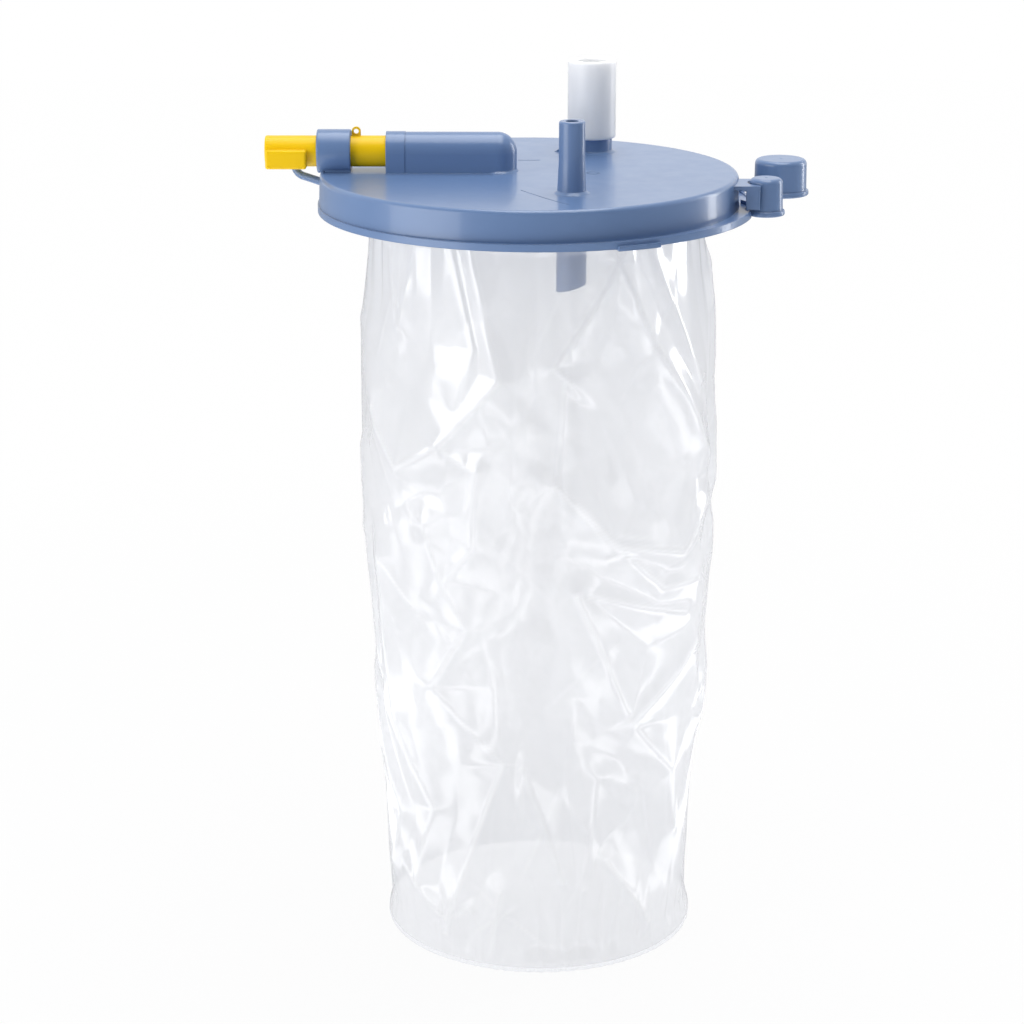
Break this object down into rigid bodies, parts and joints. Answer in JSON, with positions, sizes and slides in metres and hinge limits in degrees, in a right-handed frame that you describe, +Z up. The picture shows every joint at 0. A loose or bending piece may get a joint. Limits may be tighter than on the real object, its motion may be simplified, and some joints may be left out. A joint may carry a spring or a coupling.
{
  "type": "suction liner bag",
  "caption": "Disposable suction liner with a blue moulded lid, a clear creased film bag, a yellow vacuum tube, a soft sleeve and two port caps.",
  "frame": {"origin": "on the ground under the lid's flange axis, in the plane that the bag's bottom stands on", "axes": "+Z up through the lid; -Y towards the patient port; -X towards the mouth of the yellow vacuum tube"},
  "size_m": [0.2081, 0.165, 0.3399],
  "materials": {
    "lid_blue": "satin",
    "film_clear": "gloss",
    "tube_yellow": "gloss",
    "sleeve_white": "satin",
    "seal_grey": "matte",
    "filter_white": "matte"
  },
  "bodies": {
    "liner": {"lid": "lid_blue", "bag_wall": "film_clear", "bag_bottom": "film_clear", "port_sleeve": "sleeve_white", "tube_seal": "seal_grey", "filter_disc": "filter_white", "filter_retainer": "filter_white"},
    "tube_slider": {"vacuum_tube": "tube_yellow"},
    "small_port_cap": {"small_cap": "lid_blue"},
    "large_port_cap": {"large_cap": "lid_blue"}
  },
  "joints": [
    {"name": "tube_push", "type": "slide", "parent": "liner", "child": "tube_slider", "axis": [1, 0, 0], "range_m": [0, 0.0034]},
    {"name": "small_cap_lift", "type": "slide", "parent": "liner", "child": "small_port_cap", "axis": [0, 0, 1], "range_m": [0, 0.006]},
    {"name": "large_cap_lift", "type": "slide", "parent": "liner", "child": "large_port_cap", "axis": [0, 0, 1], "range_m": [0, 0.012]}
  ]
}
